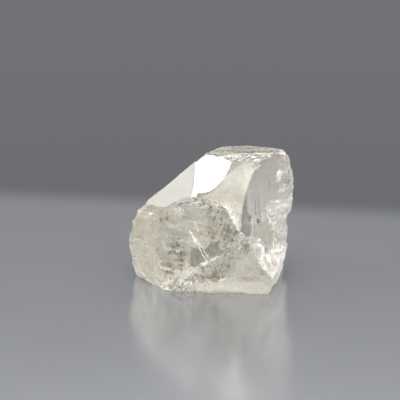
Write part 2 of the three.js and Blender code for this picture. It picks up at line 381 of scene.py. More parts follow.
def etched_left_skin(u, v, p):
    """Etched face: low waves, a scalloped upper edge with a rippled crust under it, slanting etch pits
    towards its right edge, blots low down, two clear windows darkened by painted shade, cracks across
    them, and a striated lobe at its lower left."""
    waves = 0.07 * fractal(over_face(u, v, 3.2, 1.9), 2, 21)
    below_top = 1.25 + 1.85 * smooth(u, -6.2, -0.5) - v
    edge = 1 - smooth(below_top, 0.3, 2.4)
    crust = (1 - smooth(below_top, 0.9, 1.7)) * smooth(u, -4.8, -3.4)
    apex = smooth(u, 0.2, 1.2) * (1 - smooth(u, 4.5, 5.5))
    scallop = 0.09 * np.cos(1.14 * (u + 5.2)) * (1 - apex) + 0.14 * apex - 0.25 * smooth(-u, 7.2, 9.2)
    ripple = fractal(over_face(u - 0.5 * v, v + 0.2 * u, 1.0, 0.35), 2, 22)
    grain = noise(over_face(u, v + 0.1 * u, 2.2, 0.33), 27)
    panes = smooth(noise(over_face(u, v, 1.5, 9.0), 29), -0.12, 0.12)
    slanted = noise(over_face(u - 0.33 * v, v, 0.34, 1.0), 24)
    pits = smooth(slanted, -0.3, 0.3) * smooth(u, 0.8, 3.6) * smooth(v, -4.2, -2.8) * (1 - crust)
    warped_u = u + 0.45 * noise(over_face(u, v, 0.8), 64)
    warped_v = v + 0.35 * noise(over_face(u, v, 0.8), 65)
    blots = np.max([island(warped_u, warped_v, at, radii) for at, radii in BLOTS], axis=0)
    blots = blots * smooth(fractal(over_face(u, v, 0.7, 0.4), 3, 26), -0.5, 0.4)
    marks = np.max([near_path(u, v, path, 0.12) for path in STREAKS], axis=0)
    bruised_foot = bell(over_plane("front_ledge", p), 0.35) * (0.7 + 0.6 * ripple)
    broken_foot = (1 - smooth(v + 0.35 * ripple, -8.4, -7.6)) * smooth(u, -7.4, -6.0)
    window = np.maximum(island(u, v, (0.6, -5.6), (1.6, 1.7)), island(u, v, (3.2, -4.4), (2.0, 1.6)))
    from_lobe = np.hypot(u + 11.3, v + 10.0)
    lobe = 1 - smooth(from_lobe + 0.15 * ripple, 6.2, 6.45)
    rim = smooth(from_lobe, 6.3, 6.6) * (1 - smooth(from_lobe, 7.2, 8.8)) * (1 - smooth(v, -5.5, -4.0))
    comb = noise(over_face(u, v, 0.33, 1.8), 25)
    far_left = 1 - smooth(u, -8.5, -7.0)
    lines = smooth(grain, 0.15, 0.6) * smooth(u, -8, -4) * (1 - lobe) * (1 - window)
    cracks = sum(strength * near_path(u, v, path, width) for path, width, strength in CRACKS)
    cracks = np.clip(cracks * (0.85 + 0.5 * noise(over_face(u, v, 0.3), 28)), 0, 1)
    hairs = near_path(u, v, [(-0.2, -2.8), (1.3, -4.8), (2.1, -5.9)], 0.35)
    rise = waves * (1 - window) + 0.015 * grain * (1 - window) + scallop * edge + 0.05 * ripple * crust
    rise = rise - 0.05 * pits - 0.06 * blots + lobe * (0.02 * comb - 0.08) - 0.12 * cracks
    frost = 0.18 + 0.17 * far_left + 0.1 * lobe + 0.2 * crust - 0.12 * window + 0.5 * cracks
    milk = 0.22 + 0.04 * panes + 0.06 * lobe + 0.06 * comb * lobe + 0.2 * crust
    milk = milk - 0.16 * window + 0.75 * cracks - 0.04 * rim + 0.12 * bruised_foot
    # Painted shade: the clear windows are darkened through the stain.
    stain = 0.45 * pits + 0.6 * marks + 0.78 * blots + 0.46 * window + 0.1
    stain = stain + 0.06 * lobe * (1 + comb) + 0.12 * rim + 0.12 * crust + 0.28 * lines
    crumble = 0.03 + 0.4 * crust + 0.3 * window + 0.8 * hairs
    crumble = crumble + 0.3 * broken_foot + 0.2 * pits + 0.6 * bruised_foot
    veins = crust + 0.15 * (1 - window)
    return layers(rise, frost, milk, stain * (1 - cracks), crumble, veins, pale=window)


def front_ledge_skin(u, v, p):
    """Broken ledge: crumbled, white on its crumbs and grimy between them."""
    crumbs = fractal(spread(u, v, p[:, 2], 0.9, 0.6), 3, 31)
    darkening = smooth(fractal(spread(*p.T, 0.5), 2, 32), -0.2, 0.35)
    bruised = bell(over_plane("etched_left", p), 0.4) * (0.8 + 0.5 * crumbs)
    milk = 0.15 + 0.18 * crumbs + 0.04 * bruised
    stain = (0.26 + 0.3 * darkening) * (1 - 0.6 * bruised)
    return layers(0.14 * crumbs, 0.45, milk, stain, crumble=0.45, veins=0.5, pale=0.3)


def foot_front_skin(u, v, p):
    """Cleaved foot: smooth at its right and along the bottom, pitted and grimy between the ledge and a
    ragged line that crosses it low down, whose lip is whitened partly as a bruise and partly as a painted
    highlight, with a small scoop under its top corner."""
    z = p[:, 2]
    jag = 0.24 * noise(over_face(u, flat(u), 0.9), 33)
    jag = jag + 0.18 * noise(over_face(u, flat(u), 0.35), 34)
    line = 1.9 + 0.16 * (u + 0.8) + jag
    broken = smooth(noise(over_face(u, flat(u), 0.5), 38), -0.2, 0.4)
    above = smooth(z, line, line + 0.15)
    by_ledge = 1 - smooth(-over_plane("front_ledge", p), 0.5, 1.2)
    pitted = above * (1 - smooth(u, 2.0, 3.3)) * smooth(u, -3.5, -2.2) * (1 - 0.8 * by_ledge)
    crumbly = 1 - smooth(u + 0.5 * (z - 1.5), -3.4, -1.8)
    lumps = fractal(spread(u, v, z, 0.7, 0.55), 3, 35)
    lip = bell(z - line, 0.12) * (1 - smooth(u, 3.0, 4.2)) * broken
    scoop = island(u, v, (5.1, -1.15), (0.5, 0.3))
    broad = noise(over_face(u, v, 3.5, 2.6), 36)
    clouds = fractal(over_face(u, v, 1.1, 0.8), 3, 39)
    left = 1 - smooth(u, 3, 5)
    specks = above * (1 - smooth(u, 2.6, 4.8)) * smooth(fractal(spread(u, v, z, 0.4), 2, 45), 0.0, 0.35)
    rise = 0.08 * broad - (0.02 + 0.1 * broken) * above * left + (0.09 * pitted + 0.04 * crumbly) * lumps
    rise = rise - 0.25 * scoop - 0.15 * bell(z, 0.2)
    # The lip of the step is whitened partly as a bruise and partly as a painted highlight.
    milk = 0.275 + 0.3 * lip + 0.06 * broad + 0.14 * clouds + 0.08 * crumbly * (0.6 - lumps)
    milk = milk + 0.08 * by_ledge + 0.08 * (1 - above) * left + 0.1 * smooth(u, 2, 5)
    stain = 0.16 * pitted + 0.16 * crumbly + 0.42 * (pitted + crumbly) * smooth(lumps, -0.1, 0.4)
    stain = stain + 0.35 * scoop + 0.2 * smooth(clouds, 0.1, 0.6) + 0.05 * smooth(u, 1, 5)
    stain = stain + (0.25 + 0.25 * left) * specks * (1 - 0.6 * by_ledge) + 0.05 * above
    frost = 0.2 + 0.25 * pitted + 0.3 * lip
    crumble = 0.16 + 0.6 * pitted + 0.3 * crumbly + 0.5 * lip + 0.35 * by_ledge
    return layers(rise, frost, milk, stain, crumble, veins=0.6 * crumbly, pale=0.3 * crumbly)


def right_shelf_skin(u, v, p):
    """Torn shelf over the broken shell, sagging in its middle, with a bright knob near its left end."""
    lumps = fractal(spread(u, v, p[:, 2], 1.0), 3, 41)
    sag = bell(u + 0.75, 1.15)
    knob = island(u, v, (-2.6, -7.1), (0.7, 0.35))
    left = 1 - smooth(u, -4.8, -4.0)
    rise = 0.5 - 1.5 * sag + 0.22 * lumps + 0.12 * knob
    milk = 0.34 + 0.25 * lumps + 0.7 * knob - 0.15 * left
    stain = 0.2 * smooth(lumps, 0.2, 0.6) + 0.2 * left
    return layers(rise, 0.55, milk, stain, crumble=0.9, pale=1.0)


def shell_break_skin(u, v, p):
    """Shell-like break: rings round a point at its foot, swelling downwards, crumbled all over, with an
    open slit near its top, sunk a little and darkened by painted shade."""
    ring = np.hypot(u - 3.5, v + 9.5) + 0.35 * noise(over_face(u, v, 1.6), 42)
    crumb = fractal(spread(u, v, p[:, 2], 1.0), 3, 43)
    swell = -0.4 + 1.6 * smooth(-v, 6.3, 9.0)
    rise = swell + 0.06 * np.sin(ring * 3.6) + 0.12 * crumb
    bright = bell(u + 1.2, 1.6) * bell(v + 6.2, 1.3)
    slit = near_path(u, v, [(1.28, -5.71), (0.58, -5.91), (-0.09, -6.17)], 0.3)
    milk = (0.3 + 0.25 * crumb + 0.22 * bright) * (1 - slit)
    # Painted shade: the open slit is darkened through the stain and loses its white.
    stain = 0.2 * smooth(-crumb, 0.1, 0.5) + 2.5 * slit
    return layers(rise - 0.55 * slit, 0.5, milk, stain, crumble=0.55 * (1 - slit), pale=1.0)


def base_skin(u, v, p):
    """Flat cleaved base, softly etched."""
    return layers(flat(u), 0.6, 0.3, crumble=0.3)


# Where the worn skin is crushed at the lower right corner: middle and radii.
DUST_MIDDLE = np.array([10.3, 1.2, 1.3])
DUST_RADII = np.array([1.8, 3.6, 2.0])


def worn_skin(u, v, p):
    """Worn sides and back: broad swells, hollows that meet in low ridges, and a grainy skin, bruised
    underneath. At the right it is dented where the hollowed face ends, stepped back at its foot, and
    crushed at the lower corner."""
    x, y, z = p.T
    broad = 0.24 * noise(spread(x, y, z, 3.9), 51) + 0.12
    hollows = 0.3 * np.abs(noise(spread(x, y, z, 2.1, 2.1, 1.6), 52))
    grain = fractal(spread(x, y, z, 0.9), 2, 53)
    dust = np.exp(-(((p - DUST_MIDDLE) / DUST_RADII) ** 2).sum(1))
    dust_lumps = fractal(spread(x, y, z, 1.1), 2, 54)
    under = (1 - smooth(z, 1.0, 3.2)) * (1 - smooth(x, -10.0, -5.0))
    behind = smooth(y, 0.3, 2.3)
    foot = (1 - smooth(z, 1.7, 2.9)) * (0.5 + 0.5 * smooth(z, 0.6, 1.5))
    step = foot * smooth(x, 7, 9) * (1 + 1.3 * behind)
    dent = bell(z - 8.9, 0.75) * smooth(x, 8, 10.5)
    rise = broad - hollows + 0.09 * grain + 0.14 * dust * dust_lumps - 0.35 * step - 0.34 * dent
    milk = 0.3 + 0.12 * grain + 0.17 * smooth(x, -4, 6) + 0.55 * dust + 0.5 * under
    stain = 0.1 * smooth(-grain, 0.1, 0.5)
    crumble = 0.12 + 0.45 * dust + 0.2 * under
    pale = smooth(x, 2, 7) * (1 - 0.5 * dust)
    return layers(rise, 0.55, milk, stain, crumble, veins=0.15, pale=pale)


SKINS = {
    "cap": cap_skin,
    "dome_front": dome_front_skin,
    "dome_back": dome_back_skin,
    "cap_bevel": cap_bevel_skin,
    "cap_corner": cap_bevel_skin,
    "prism_front": prism_front_skin,
    "cheek": cheek_skin,
    "prism_right": prism_right_skin,
    "etched_left": etched_left_skin,
    "front_ledge": front_ledge_skin,
    "foot_front": foot_front_skin,
    "right_shelf": right_shelf_skin,
    "shell_break": shell_break_skin,
    "base": base_skin,
    "worn": worn_skin,
}
CODES = {name: code for code, name in enumerate(SKINS)}
WORN_LEFT = ("left_flank", "left", "left_shoulder", "left_brow", "left_heel", "left_toe", "left_hem")
WORN_RIGHT = ("right", "right_brow", "right_crown", "right_heel")
WORN_BACK = ("back_top", "back_right", "back_left", "back")
RUBBED = ("cap", "cheek", "shell_break", "right_shelf", "dome_back", "worn")

# Lengths over which sides are rounded into each other, in millimetres.
BLEND = {"left": 1.6, "notch": 0.4, "waist": 0.5, "right": 1.0, "shelf": 1.6, "cheek": 0.9}

# The corner between the front, etched and foot faces is crushed round this point.
CRUSHED_CORNER = np.array([5.0, -7.5, 7.9])
CRUSHED_REACH = 1.45


def skin_of(name, points):
    """The skin values of one side at points near the surface, crushed round the front corner as
    exp(-(distance / reach)^2). The worn sides share one skin, which reads the points alone."""
    _, level, up = AXES.get(name, AXES["back"])
    skin = SKINS[name](points @ level, (points - BULK_MIDDLE) @ up, points)
    crushed = np.exp(-(((points - CRUSHED_CORNER) ** 2).sum(1) / CRUSHED_REACH**2))
    skin["rise"] = skin["rise"] + 0.36 * crushed * fractal(spread(*points.T, 1.0), 2, 37)
    skin["stain"] = skin["stain"] + 0.25 * crushed
    skin["crumble"] = np.maximum(skin["crumble"], crushed)
    return skin


def finish_of(points, code, gap):
    """Finish values at each point: those of its side, with the sharp edges of some sides rubbed white
    and a thin grey outline round the dome face."""
    finish = {key: np.zeros(len(points)) for key in FINISH}
    for name, number in CODES.items():
        here = code == number
        if here.any():
            skin = skin_of(name, points[here])
            for key in FINISH:
                finish[key][here] = skin[key]
    rubbed = (1 - smooth(gap, 0.05, 0.35)) * smooth(fractal(spread(*points.T, 0.8), 2, 72), -0.4, 0.5)
    rubbed = rubbed * np.isin(code, [CODES[name] for name in RUBBED])
    outline = (1 - smooth(gap, 0.02, 0.1)) * (code == CODES["dome_front"])
    finish["frost"] = np.maximum(finish["frost"], np.maximum(0.6 * rubbed, 0.7 * outline))
    finish["milk"] = np.maximum(finish["milk"], 0.5 * rubbed)
    finish["stain"] = np.maximum(finish["stain"], 0.6 * outline)
    return {key: np.clip(values, 0, 1) for key, values in finish.items()}


def reach_along(rays, rise):
    """Distance from the heart to each side along each ray: (reach + rise - n.heart) / (n.ray), where n
    is the side's normal."""
    out = {}
    for name, (_, _, reach) in SIDES.items():
        normal = AXES[name][0]
        slope = rays @ normal
        height = reach + rise.get(name, rise["worn"]) - normal @ HEART
        out[name] = np.where(slope > GRAZING, height / np.maximum(slope, GRAZING), FAR)
    return out


def nearest_side(t):
    """Distance to the surface, code of its side and gap to the next side, from the distances t to all.

    The nearest side is taken, and where two sides meet in a hollow edge, the farther of the two: the
    etched side and its ledge, the right face and its shelf and broken shell, the waist and its notch.
    Worn sides are blended softly, growth faces meet crisply.
    """
    worn = np.full(len(t["cap"]), FAR)
    for name in WORN_LEFT:
        worn = soft_min(worn, t[name], BLEND["left"])
    waist = soft_max(t["right_waist"], t["right_notch"], BLEND["notch"])
    worn = soft_min(worn, waist, BLEND["waist"])
    for name in WORN_RIGHT + WORN_BACK:
        worn = soft_min(worn, t[name], BLEND["right"])
    low_right = soft_min(t["right_shelf"], t["shell_break"], BLEND["shelf"])
    front = soft_min(t["prism_front"], t["cheek"], BLEND["cheek"])

    front_code = np.where(t["prism_front"] <= t["cheek"], CODES["prism_front"], CODES["cheek"])
    left_code = np.where(t["etched_left"] >= t["front_ledge"], CODES["etched_left"], CODES["front_ledge"])
    low_code = np.where(t["right_shelf"] < t["shell_break"], CODES["right_shelf"], CODES["shell_break"])
    right_code = np.where(t["prism_right"] >= low_right, CODES["prism_right"], low_code)
    choices = [
        (t["cap"], CODES["cap"]),
        (t["dome_front"], CODES["dome_front"]),
        (t["dome_back"], CODES["dome_back"]),
        (np.minimum(t["cap_bevel"], t["cap_corner"]), CODES["cap_bevel"]),
        (front, front_code),
        (np.maximum(t["prism_right"], low_right), right_code),
        (np.maximum(t["etched_left"], t["front_ledge"]), left_code),
        (t["foot_front"], CODES["foot_front"]),
        (t["base"], CODES["base"]),
        (worn, CODES["worn"]),
    ]
    lengths = np.stack([length for length, _ in choices])
    codes = np.stack([np.broadcast_to(code, worn.shape) for _, code in choices])
    nearest, next_nearest = np.sort(lengths, 0)[:2]
    code = np.take_along_axis(codes, lengths.argmin(0)[None], 0)[0]
    return nearest, code, next_nearest - nearest


def surface(rays):
    """Distance, side code and gap along rays from the heart: once over the plain sides, to find where
    the skin is, and once more with the rise that each side's skin has there."""
    plain = nearest_side(reach_along(rays, {"worn": 0.0}))[0]
    points = HEART + rays * plain[:, None]
    rise = {name: skin_of(name, points)["rise"] for name in SKINS}
    return nearest_side(reach_along(rays, rise))


def unit(vectors):
    """Vectors divided by their lengths."""
    return vectors / np.linalg.norm(vectors, axis=-1, keepdims=True)


def ray_grid(cell):
    """Rays through a grid of points on an ellipsoid, and the grid's quads.

    The two parameters run over each side of a cube, spaced by the tangent so that the cells are even,
    and as many along each axis as keep them near one size; the cube is blown up to the ellipsoid, and
    seams between its sides are merged.
    """
    counts = np.rint(2 * BULK_RADII / cell).astype(int)
    lines = [np.tan(np.linspace(-1, 1, n + 1) * math.pi / 4) for n in counts]
    grid, quads, start = [], [], 0
    for k in range(3):
        i, j = (k + 1) % 3, (k + 2) % 3
        a, b = np.meshgrid(lines[i], lines[j], indexing="ij")
        rows, columns = a.shape
        corner = (np.arange(rows - 1)[:, None] * columns + np.arange(columns - 1)).ravel()
        quad = np.stack([corner, corner + columns, corner + columns + 1, corner + 1], -1)
        for side in (-1, 1):
            patch = np.full((a.size, 3), float(side))
            patch[:, i], patch[:, j] = side * a.ravel(), b.ravel()
            grid.append(patch)
            quads.append(quad + start)
            start += a.size
    grid, quads = np.concatenate(grid), np.concatenate(quads)
    _, first, back = np.unique(np.round(grid, 7) + 0.0, axis=0, return_index=True, return_inverse=True)
    points = BULK_MIDDLE + unit(grid[first]) * BULK_RADII
    return unit(points - HEART), back.reshape(-1)[quads]


def snapped_rays(rays, quads):
    """Moves the grid points beside an edge of the crystal onto that edge.

    Wherever a grid line joins two different sides, the ray at which the side changes is found by
    halving, and the nearer end of the line is moved there. Where several lines pull at one point, the
    shortest move wins.
    """
    code = surface(rays)[1]
    lines = np.concatenate([quads[:, [k, (k + 1) % 4]] for k in range(4)])
    lines = np.unique(np.sort(lines, 1), axis=0)
    lines = lines[code[lines[:, 0]] != code[lines[:, 1]]]
    start, end = rays[lines[:, 0]], rays[lines[:, 1]]
    low, high = np.zeros(len(lines)), np.ones(len(lines))
    for _ in range(HALVINGS):
        middle = (low + high) / 2
        here = surface(unit(start + (end - start) * middle[:, None]))[1]
        same = here == code[lines[:, 0]]
        low, high = np.where(same, middle, low), np.where(same, high, middle)
    cross = unit(start + (end - start) * ((low + high) / 2)[:, None])
    vertex = np.where(low < 0.5, lines[:, 0], lines[:, 1])
    shift = np.where(low < 0.5, low, 1 - low)
    order = np.argsort(-shift, kind="stable")
    rays = rays.copy()
    rays[vertex[order]] = cross[order]
    snapped = np.zeros(len(rays), bool)
    snapped[vertex] = True
    return rays, snapped


def triangles_of(points, quads, snapped):
    """Cuts each quad along the diagonal that follows an edge of the crystal, or else the shorter one."""
    on = snapped[quads]
    first = np.linalg.norm(points[quads[:, 0]] - points[quads[:, 2]], axis=1)
    second = np.linalg.norm(points[quads[:, 1]] - points[quads[:, 3]], axis=1)
    use_first = np.where(on[:, 0] & on[:, 2], True, np.where(on[:, 1] & on[:, 3], False, first <= second))
    a, b, c, d = quads.T
    one = np.where(use_first[:, None], np.stack([a, b, c], -1), np.stack([a, b, d], -1))
    two = np.where(use_first[:, None], np.stack([a, c, d], -1), np.stack([b, c, d], -1))
    return np.concatenate([one, two])


# ------------------------------------------------------------------------- the crystal's mesh
def crystal_skin(cell):
    """Points, triangles and finish of the crystal: a grid of rays from its heart, each as long as the
    nearer of the sides it meets, with the grid's points drawn onto the crystal's edges."""
    rays, quads = ray_grid(cell)
    rays, snapped = snapped_rays(rays, quads)
    radius, code, gap = surface(rays)
    points = HEART + rays * radius[:, None]
    triangles = triangles_of(points, quads, snapped)
    return points, triangles, finish_of(points, code, gap)


def inside_box(points, low, high):
    """Points shrunk about the box's middle, along each axis by as little as keeps them in the box."""
    middle = (low + high) / 2
    reach = np.abs(points - middle).max(0)
    grow = np.minimum(1, (high - low) / 2 / reach)
    return middle + (points - middle) * grow


def mesh_object(name, points, triangles, material, attributes):
    """Object of triangles, smooth but for its sharp edges, with a value at each point per attribute."""
    mesh = bpy.data.meshes.new(name)
    mesh.from_pydata(points.tolist(), [], triangles.tolist())
    for key, values in attributes.items():
        mesh.attributes.new(key, "FLOAT", "POINT").data.foreach_set("value", values)
    mesh.materials.append(material)
    mesh.shade_smooth()
    mesh.set_sharp_from_angle(angle=SHARP_EDGE)
    thing = bpy.data.objects.new(name, mesh)
    bpy.context.scene.collection.objects.link(thing)
    return thing


# ------------------------------------------------------------------------- stage
# Lengths in metres. The board is turned, shifted back, and fades between two offsets from its reach.
BOARD_TURN = math.radians(11)
BOARD_SHIFT = 0.012
BOARD_ROUNDING = 0.01
BOARD_FADE = (-0.012, 0.004)
FLOOR_MARGIN = 1.4

# Softboxes: direction from the crystal's middle, distance and width. The key light stands where the
# front dome face mirrors it.
CRYSTAL_MIDDLE = Vector((0, 0, 0.01))
SOFTBOXES = {
    "key": ((-0.859, -0.191, 0.474), 0.25, 0.055),
    "fill": ((0.75, -0.5, 0.55), 0.3, 0.2),
    "top": ((-0.1, -0.5, 1.0), 0.26, 0.16),
}

# Greys of the room from straight down (0) over the horizon (0.5) to straight up (1), and their tint.
ROOM_GREYS = [(0.0, 0.16), (0.36, 0.15), (0.46, 0.17), (0.7, 0.17), (0.75, 0.9), (0.85, 2.0), (1.0, 2.2)]
ROOM_TINT = (0.97, 1.0, 1.05)

# The camera looks down a little at a point just above the crystal's middle.
CAMERA_AIM = Vector((-0.001892, 0.0, 0.0127455))
CAMERA_DISTANCE = 0.1674688
CAMERA_DIP = math.radians(14)


# ------------------------------------------------------------------------- materials
class Nodes:
    """The node tree of a material or a world, with one call to add a node and set its sockets."""

    def __init__(self, owner):
        owner.use_nodes = True
        self.owner = owner
        self.tree = owner.node_tree
        self.tree.nodes.clear()

    def add(self, kind, inputs=(), **settings):
        node = self.tree.nodes.new("ShaderNode" + kind)
        for key, value in settings.items():
            setattr(node, key, value)
        for key, value in dict(inputs).items():
            if isinstance(value, bpy.types.NodeSocket):
                self.tree.links.new(value, node.inputs[key])
            else:
                node.inputs[key].default_value = value
        return node

    def math(self, operation, *values):
        return self.add("Math", dict(enumerate(values)), operation=operation).outputs[0]

    def attribute(self, name):
        return self.add("Attribute", attribute_name=name).outputs["Fac"]

    def ramp(self, value, low, high, to_low=0.0, to_high=1.0):
        """Smooth step of a value from one range to another."""
        inputs = {"Value": value, "From Min": low, "From Max": high, "To Min": to_low, "To Max": to_high}
        return self.add("MapRange", inputs, interpolation_type="SMOOTHSTEP").outputs[0]

    def mix(self, share, first, second):
        """Colour between two, each a socket or a constant."""
        node = self.add("Mix", {0: share}, data_type="RGBA")
        for socket, colour in ((6, first), (7, second)):
            if isinstance(colour, bpy.types.NodeSocket):
                self.tree.links.new(colour, node.inputs[socket])
            else:
                node.inputs[socket].default_value = (*colour, 1)
        return node.outputs[2]

    def noise(self, coordinates, scale, detail=3.0, stretch=(1, 1, 1)):
        """Noise of a scale per metre, on coordinates that are multiplied by the stretch first."""
        place = self.add("Mapping", {"Vector": coordinates, "Scale": stretch}).outputs[0]
        return self.add("TexNoise", {"Vector": place, "Scale": scale, "Detail": detail}).outputs["Fac"]


def crystal_material(look):
    """Clear glass-like crystal under a partly bruised skin. The frost attribute sets how matt it is,
    milk how much of it is bruised white, and in a few places how much painted highlight it has, stain
    how much grime dulls it, and in a few places how dark its painted shade is, crumble how much of it is
    split into sparkling and dark grains, and veins how dark the outlines of its terraces are. Absorption
    inside gives the champagne tint where light travels far."""
    n = Nodes(bpy.data.materials.new("clear_topaz"))
    frost, milk, stain, crumble, veins, pale = [n.attribute(key) for key in FINISH]

    # Patterns of the skin, from broad to fine; the streaks are upright and lean a little.
    place = n.add("TexCoord").outputs["Object"]
    lean = {"Vector": place, "Rotation": (0, math.radians(18), 0), "Scale": (1, 1, 2.6)}
    leaning = n.add("Mapping", lean, vector_type="TEXTURE").outputs[0]
    terraces = n.math("MULTIPLY", n.noise(place, 520.0, 3.0, (0.5, 1.6, 1.6)), 4.5)
    terraces = n.math("PINGPONG", terraces, 0.5)
    mottle = n.noise(place, 1100.0, 5.0)
    streak = n.noise(leaning, 4200.0, 3.0)
    fleck = n.noise(place, 4300.0, 2.0)
    speck = n.noise(place, 5200.0, 2.0)
    outline = n.math("MULTIPLY", veins, n.ramp(terraces, 0.0, 0.19, 1.0, 0.0))
    white_grains = n.math("MULTIPLY", crumble, n.ramp(fleck, 0.52, 0.62))
    dark_grains = n.math("MULTIPLY", crumble, n.ramp(fleck, 0.47, 0.37))

    # Matt where it is frosted, and pitted by the same patterns.
    rough = n.math("MULTIPLY", frost, n.ramp(mottle, 0.3, 0.7, 0.85, 1.15))
    roughness = n.math("MULTIPLY_ADD", rough, 0.6, 0.01)
    height = n.math("MULTIPLY_ADD", speck, 0.4, mottle)
    height = n.math("MULTIPLY", height, n.ramp(frost, 0.0, 0.9))
    height = n.math("MULTIPLY_ADD", n.math("MULTIPLY", crumble, fleck), 0.8, height)
    bump = n.add("Bump", {"Strength": 0.35, "Distance": 0.0001, "Height": height}).outputs[0]

    # Grime lies in streaks, between grains and along the terraces' outlines; the stain it is drawn from
    # also holds painted shade, which lies in the same patterns.
    grain = n.math("MULTIPLY_ADD", streak, 0.6, n.math("MULTIPLY", speck, 0.4))
    streaky = n.math("MULTIPLY", n.ramp(grain, 0.43, 0.55, -0.6, 0.5), n.ramp(pale, 0.0, 1.0, 1.0, 0.4))
    streaky = n.math("MULTIPLY", streaky, n.ramp(stain, 0.05, 0.4, 0.3, 1.0))
    darkening = n.math("MULTIPLY", stain, n.math("ADD", streaky, 0.9))
    darkening = n.math("MULTIPLY_ADD", outline, 0.8, darkening)
    darkening = n.math("MULTIPLY_ADD", dark_grains, 0.9, darkening)
    darkening = n.math("MINIMUM", darkening, 1.0)

    bruised_colour = n.mix(n.math("MAXIMUM", pale, white_grains), look.skin_colour, look.pale_colour)
    clear_colour = n.mix(n.ramp(milk, 0.06, 0.2), look.clean_colour, bruised_colour)
    grimy_and_shaded_colour = n.mix(pale, look.grime_colour, look.pale_grime_and_shade_colour)
    glass = {
        "Base Color": n.mix(darkening, clear_colour, grimy_and_shaded_colour),
        "Roughness": roughness,
        "Normal": bump,
        "Transmission Weight": 1.0,
        "IOR": look.refractive_index,
    }
    # The bruise layer is the white skin, and in a few places it carries a painted highlight.
    bruise_and_highlight = {
        "Base Color": n.mix(darkening, bruised_colour, grimy_and_shaded_colour),
        "Roughness": 0.55,
        "Normal": bump,
    }
    patchy = n.math("MULTIPLY", n.ramp(mottle, 0.3, 0.7, 0.9, 1.1), n.ramp(streak, 0.35, 0.65, 0.92, 1.08))
    share = n.math("MULTIPLY_ADD", white_grains, 0.42, n.math("MULTIPLY", milk, patchy))
    layers_of_skin = {
        0: share,
        1: n.add("BsdfPrincipled", glass).outputs[0],
        2: n.add("BsdfPrincipled", bruise_and_highlight).outputs[0],
    }
    skin = n.add("MixShader", layers_of_skin).outputs[0]
    tint = n.add("VolumeAbsorption", {"Color": (*look.tint, 1), "Density": look.tint_density}).outputs[0]
    n.add("OutputMaterial", {"Surface": skin, "Volume": tint})
    return n.owner


def floor_material(stage):
    """Pale grey board with a soft gloss, turned a little, and fading out over its last stretch like a
    blurred far edge: the larger of the distances along its two sides sets how much of it is left."""
    n = Nodes(bpy.data.materials.new("pale_board"))
    place = n.add("TexCoord").outputs["Object"]
    turned = n.add("Mapping", {"Vector": place, "Rotation": (0, 0, BOARD_TURN)}).outputs[0]
    split = n.add("SeparateXYZ", {"Vector": turned})
    across = n.math("ABSOLUTE", split.outputs["X"])
    along = n.math("ABSOLUTE", n.math("ADD", split.outputs["Y"], BOARD_SHIFT))
    edge = n.math("SMOOTH_MAX", across, along, BOARD_ROUNDING)
    fade_start, fade_end = (stage.floor_reach + offset for offset in BOARD_FADE)
    cover = n.ramp(edge, fade_start, fade_end, 1.0, 0.0)
    tone = n.ramp(n.noise(place, 90.0, 4.0), 0.2, 0.8, 0.97, 1.03)
    colour = n.add("VectorMath", {0: tuple(stage.floor_colour), 1: tone}, operation="MULTIPLY").outputs[0]
    gloss = {"Base Color": colour, "Roughness": stage.floor_roughness, "IOR": stage.floor_shine}
    clear = n.add("BsdfTransparent").outputs[0]
    board = n.add("BsdfPrincipled", gloss).outputs[0]
    mixed = n.add("MixShader", {0: cover, 1: clear, 2: board}).outputs[0]
    n.add("OutputMaterial", {"Surface": mixed})
    return n.owner


# ------------------------------------------------------------------------- what a user can change
class CrystalLook(bpy.types.PropertyGroup):
    """Fineness, colours and clarity of the crystal"""

    cell: FloatProperty(
        name="Cell",
        description="Width of the cells that the skin is made of",
        default=0.000163,
        min=0.00016,
        unit="LENGTH",
        subtype="DISTANCE",
        precision=6,
    )
    skin_colour: FloatVectorProperty(
        name="Skin colour",
        description="Colour of the bruised skin, and a slight tint on the clear one",
        default=(0.92, 0.88, 0.785),
        subtype="COLOR",
        size=3,
    )
    pale_colour: FloatVectorProperty(
        name="Pale colour",
        description="Cooler colour of the skin on the right face and the breaks under it",
        default=(0.92, 0.885, 0.85),
        subtype="COLOR",
        size=3,
    )
    clean_colour: FloatVectorProperty(
        name="Clean colour",
        description="Tint on light that passes through unbruised skin",
        default=(0.96, 0.95, 0.93),
        subtype="COLOR",
        size=3,
    )
    grime_colour: FloatVectorProperty(
        name="Grime colour",
        description="Colour of the grime in the etch pits",
        default=(0.25, 0.23, 0.19),
        subtype="COLOR",
        size=3,
    )
    # Besides grime on pale skin, this colour is the painted shade in the clear windows, in the open slit
    # and at the lower left of the hollowed face.
    pale_grime_and_shade_colour: FloatVectorProperty(
        name="Pale grime colour",
        description="Colour of the grime where the skin is pale",
        default=(0.215, 0.22, 0.235),
        subtype="COLOR",
        size=3,
    )
    tint: FloatVectorProperty(
        name="Tint",
        description="Colour that the crystal lets through best",
        default=(0.88, 0.84, 0.64),
        subtype="COLOR",
        size=3,
    )
    tint_density: FloatProperty(
        name="Tint density",
        description="How fast the tint builds up, per metre",
        default=36.0,
        min=0.0,
    )
    refractive_index: FloatProperty(
        name="Refractive index",
        description="Bending of light, about 1.62 in topaz",
        default=1.62,
        min=1.0,
    )


